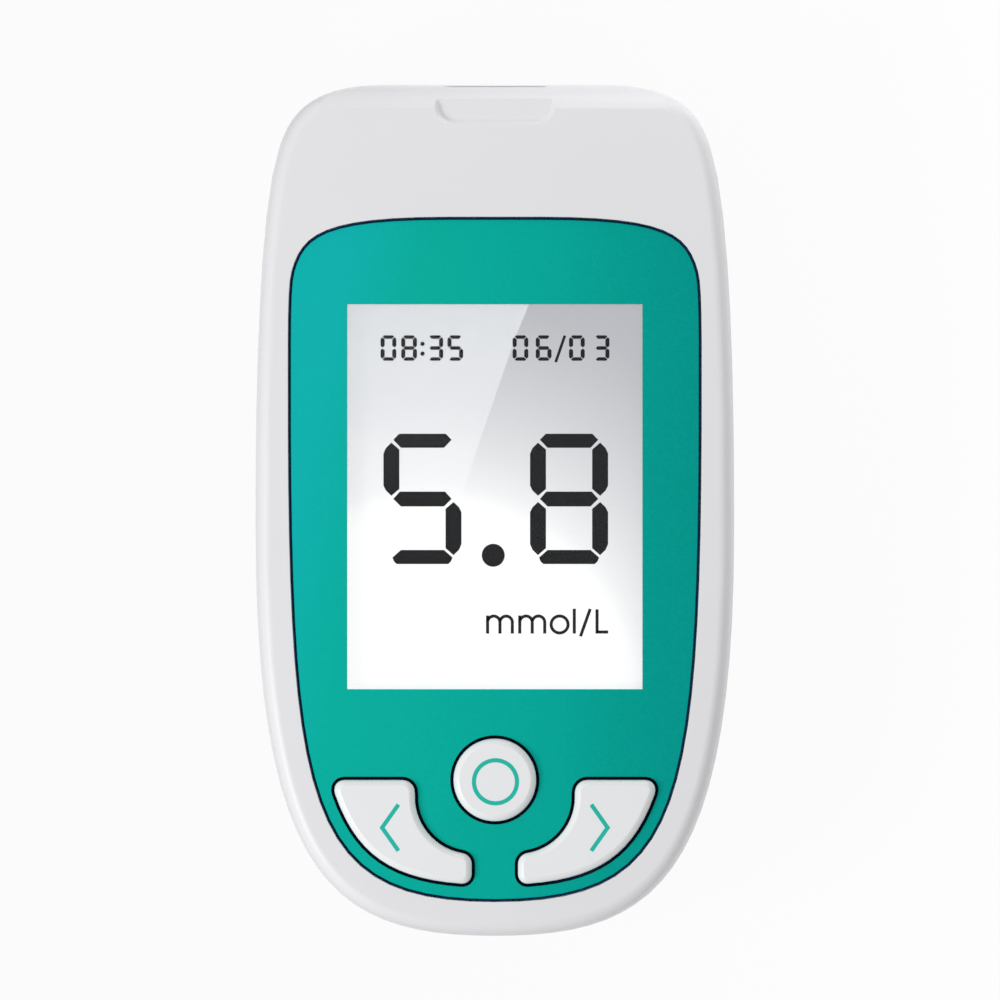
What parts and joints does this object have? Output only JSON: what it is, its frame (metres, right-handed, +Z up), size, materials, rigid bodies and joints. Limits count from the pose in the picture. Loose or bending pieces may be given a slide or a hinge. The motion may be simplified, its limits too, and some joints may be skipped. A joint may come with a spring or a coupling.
{
  "type": "blood glucose meter",
  "caption": "Hand-held blood glucose meter with a display, three push buttons, a test strip port and a sliding battery door.",
  "frame": {"origin": "middle of the meter's outline on the plane of its four rubber feet", "axes": "+Z up out of the display with the meter lying on its back, +Y to the test strip end, +X to the right of someone who reads the display"},
  "size_m": [0.054, 0.096, 0.0216],
  "materials": {
    "case_front": "satin moulded white",
    "case_back": "fine spark texture, white",
    "faceplate": "satin pearl teal",
    "adhesive": "navy foam tape",
    "window": "polished clear",
    "frame_plastic": "matt black",
    "lcd_glass": "grey-white display glass",
    "polariser": "film",
    "backlight": "white light guide",
    "silicone": "soft silicone",
    "board": "solder mask",
    "chip": "moulded black",
    "plated_metal": "nickel plated",
    "ceramic": "ceramic",
    "button": "satin moulded white",
    "connector": "natural",
    "gold": "gold plated",
    "cell": "printed sleeve, plain",
    "foot": "matt",
    "screw": "zinc plated"
  },
  "bodies": {
    "meter": {"front_shell": "case_front", "back_shell": "case_back", "faceplate": "faceplate", "faceplate_adhesive": "adhesive", "display_window": "window", "lcd_frame": "frame_plastic", "lcd_glass": "lcd_glass", "lcd_polariser": "polariser", "backlight_panel": "backlight", "zebra_connector": "silicone", "main_board": "board", "microcontroller": "chip", "analogue_chip": "chip", "crystal_oscillator": "plated_metal", "buzzer": "chip", "capacitors": "ceramic", "centre_switch": "plated_metal", "left_switch": "plated_metal", "right_switch": "plated_metal", "strip_connector": "connector", "strip_contacts": "gold", "strip_port_bezel": "frame_plastic", "battery_left": "cell", "battery_right": "cell", "positive_contact": "plated_metal", "negative_contact": "plated_metal", "link_contact": "plated_metal", "left_spring": "plated_metal", "right_spring": "plated_metal", "rubber_feet": "foot", "housing_screws": "screw", "board_screws": "screw"},
    "centre_key": {"centre_button": "button", "centre_plunger": "frame_plastic"},
    "left_key": {"left_button": "button", "left_plunger": "frame_plastic"},
    "right_key": {"right_button": "button", "right_plunger": "frame_plastic"},
    "door": {"battery_door": "case_back"}
  },
  "joints": [
    {"name": "centre_button_press", "type": "slide", "parent": "meter", "child": "centre_key", "axis": [0, 0, -1], "range_m": [0, 0.0005], "stiffness_N_per_m": 2000},
    {"name": "left_button_press", "type": "slide", "parent": "meter", "child": "left_key", "axis": [0, 0, -1], "range_m": [0, 0.0005], "stiffness_N_per_m": 2000},
    {"name": "right_button_press", "type": "slide", "parent": "meter", "child": "right_key", "axis": [0, 0, -1], "range_m": [0, 0.0005], "stiffness_N_per_m": 2000},
    {"name": "battery_door_slide", "type": "slide", "parent": "meter", "child": "door", "axis": [0, -1, 0], "range_m": [0, 0.064]}
  ]
}
